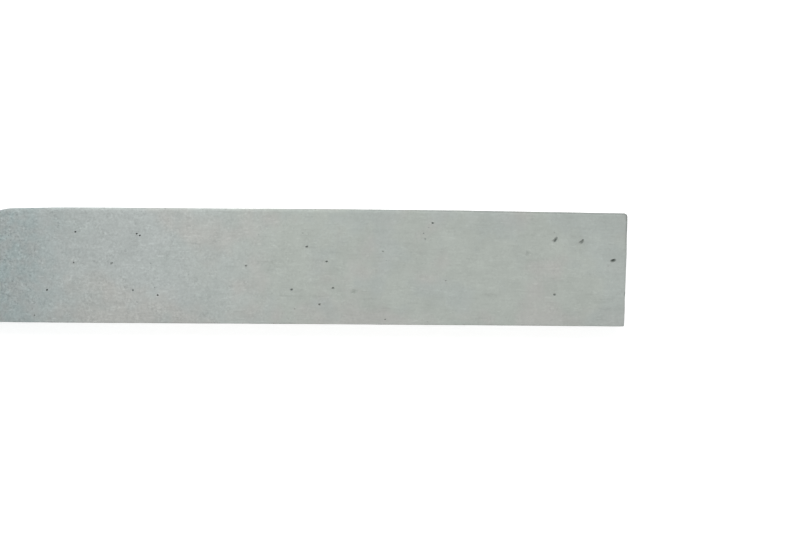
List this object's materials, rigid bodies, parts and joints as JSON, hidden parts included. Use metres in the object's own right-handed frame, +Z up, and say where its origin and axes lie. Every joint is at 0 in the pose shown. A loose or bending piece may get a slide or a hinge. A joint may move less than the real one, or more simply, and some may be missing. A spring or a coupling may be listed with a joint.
{
  "type": "whetstone",
  "caption": "Long flat bar of fine natural stone for honing knife and carving edges, with a square-sawn end, a worn rounded nose and lightly eased edges.",
  "frame": {"origin": "middle of the bar's bounding rectangle, on the bench face that the stone lies on", "axes": "+X along the bar from the worn nose to the square-sawn end, +Y across it towards the bowed side, +Z up out of the honing face"},
  "size_m": [0.203, 0.035, 0.014],
  "materials": {
    "stone": "matte, sawn and honed grey-green natural stone"
  },
  "bodies": {
    "root": {"whetstone": "stone"}
  },
  "joints": []
}
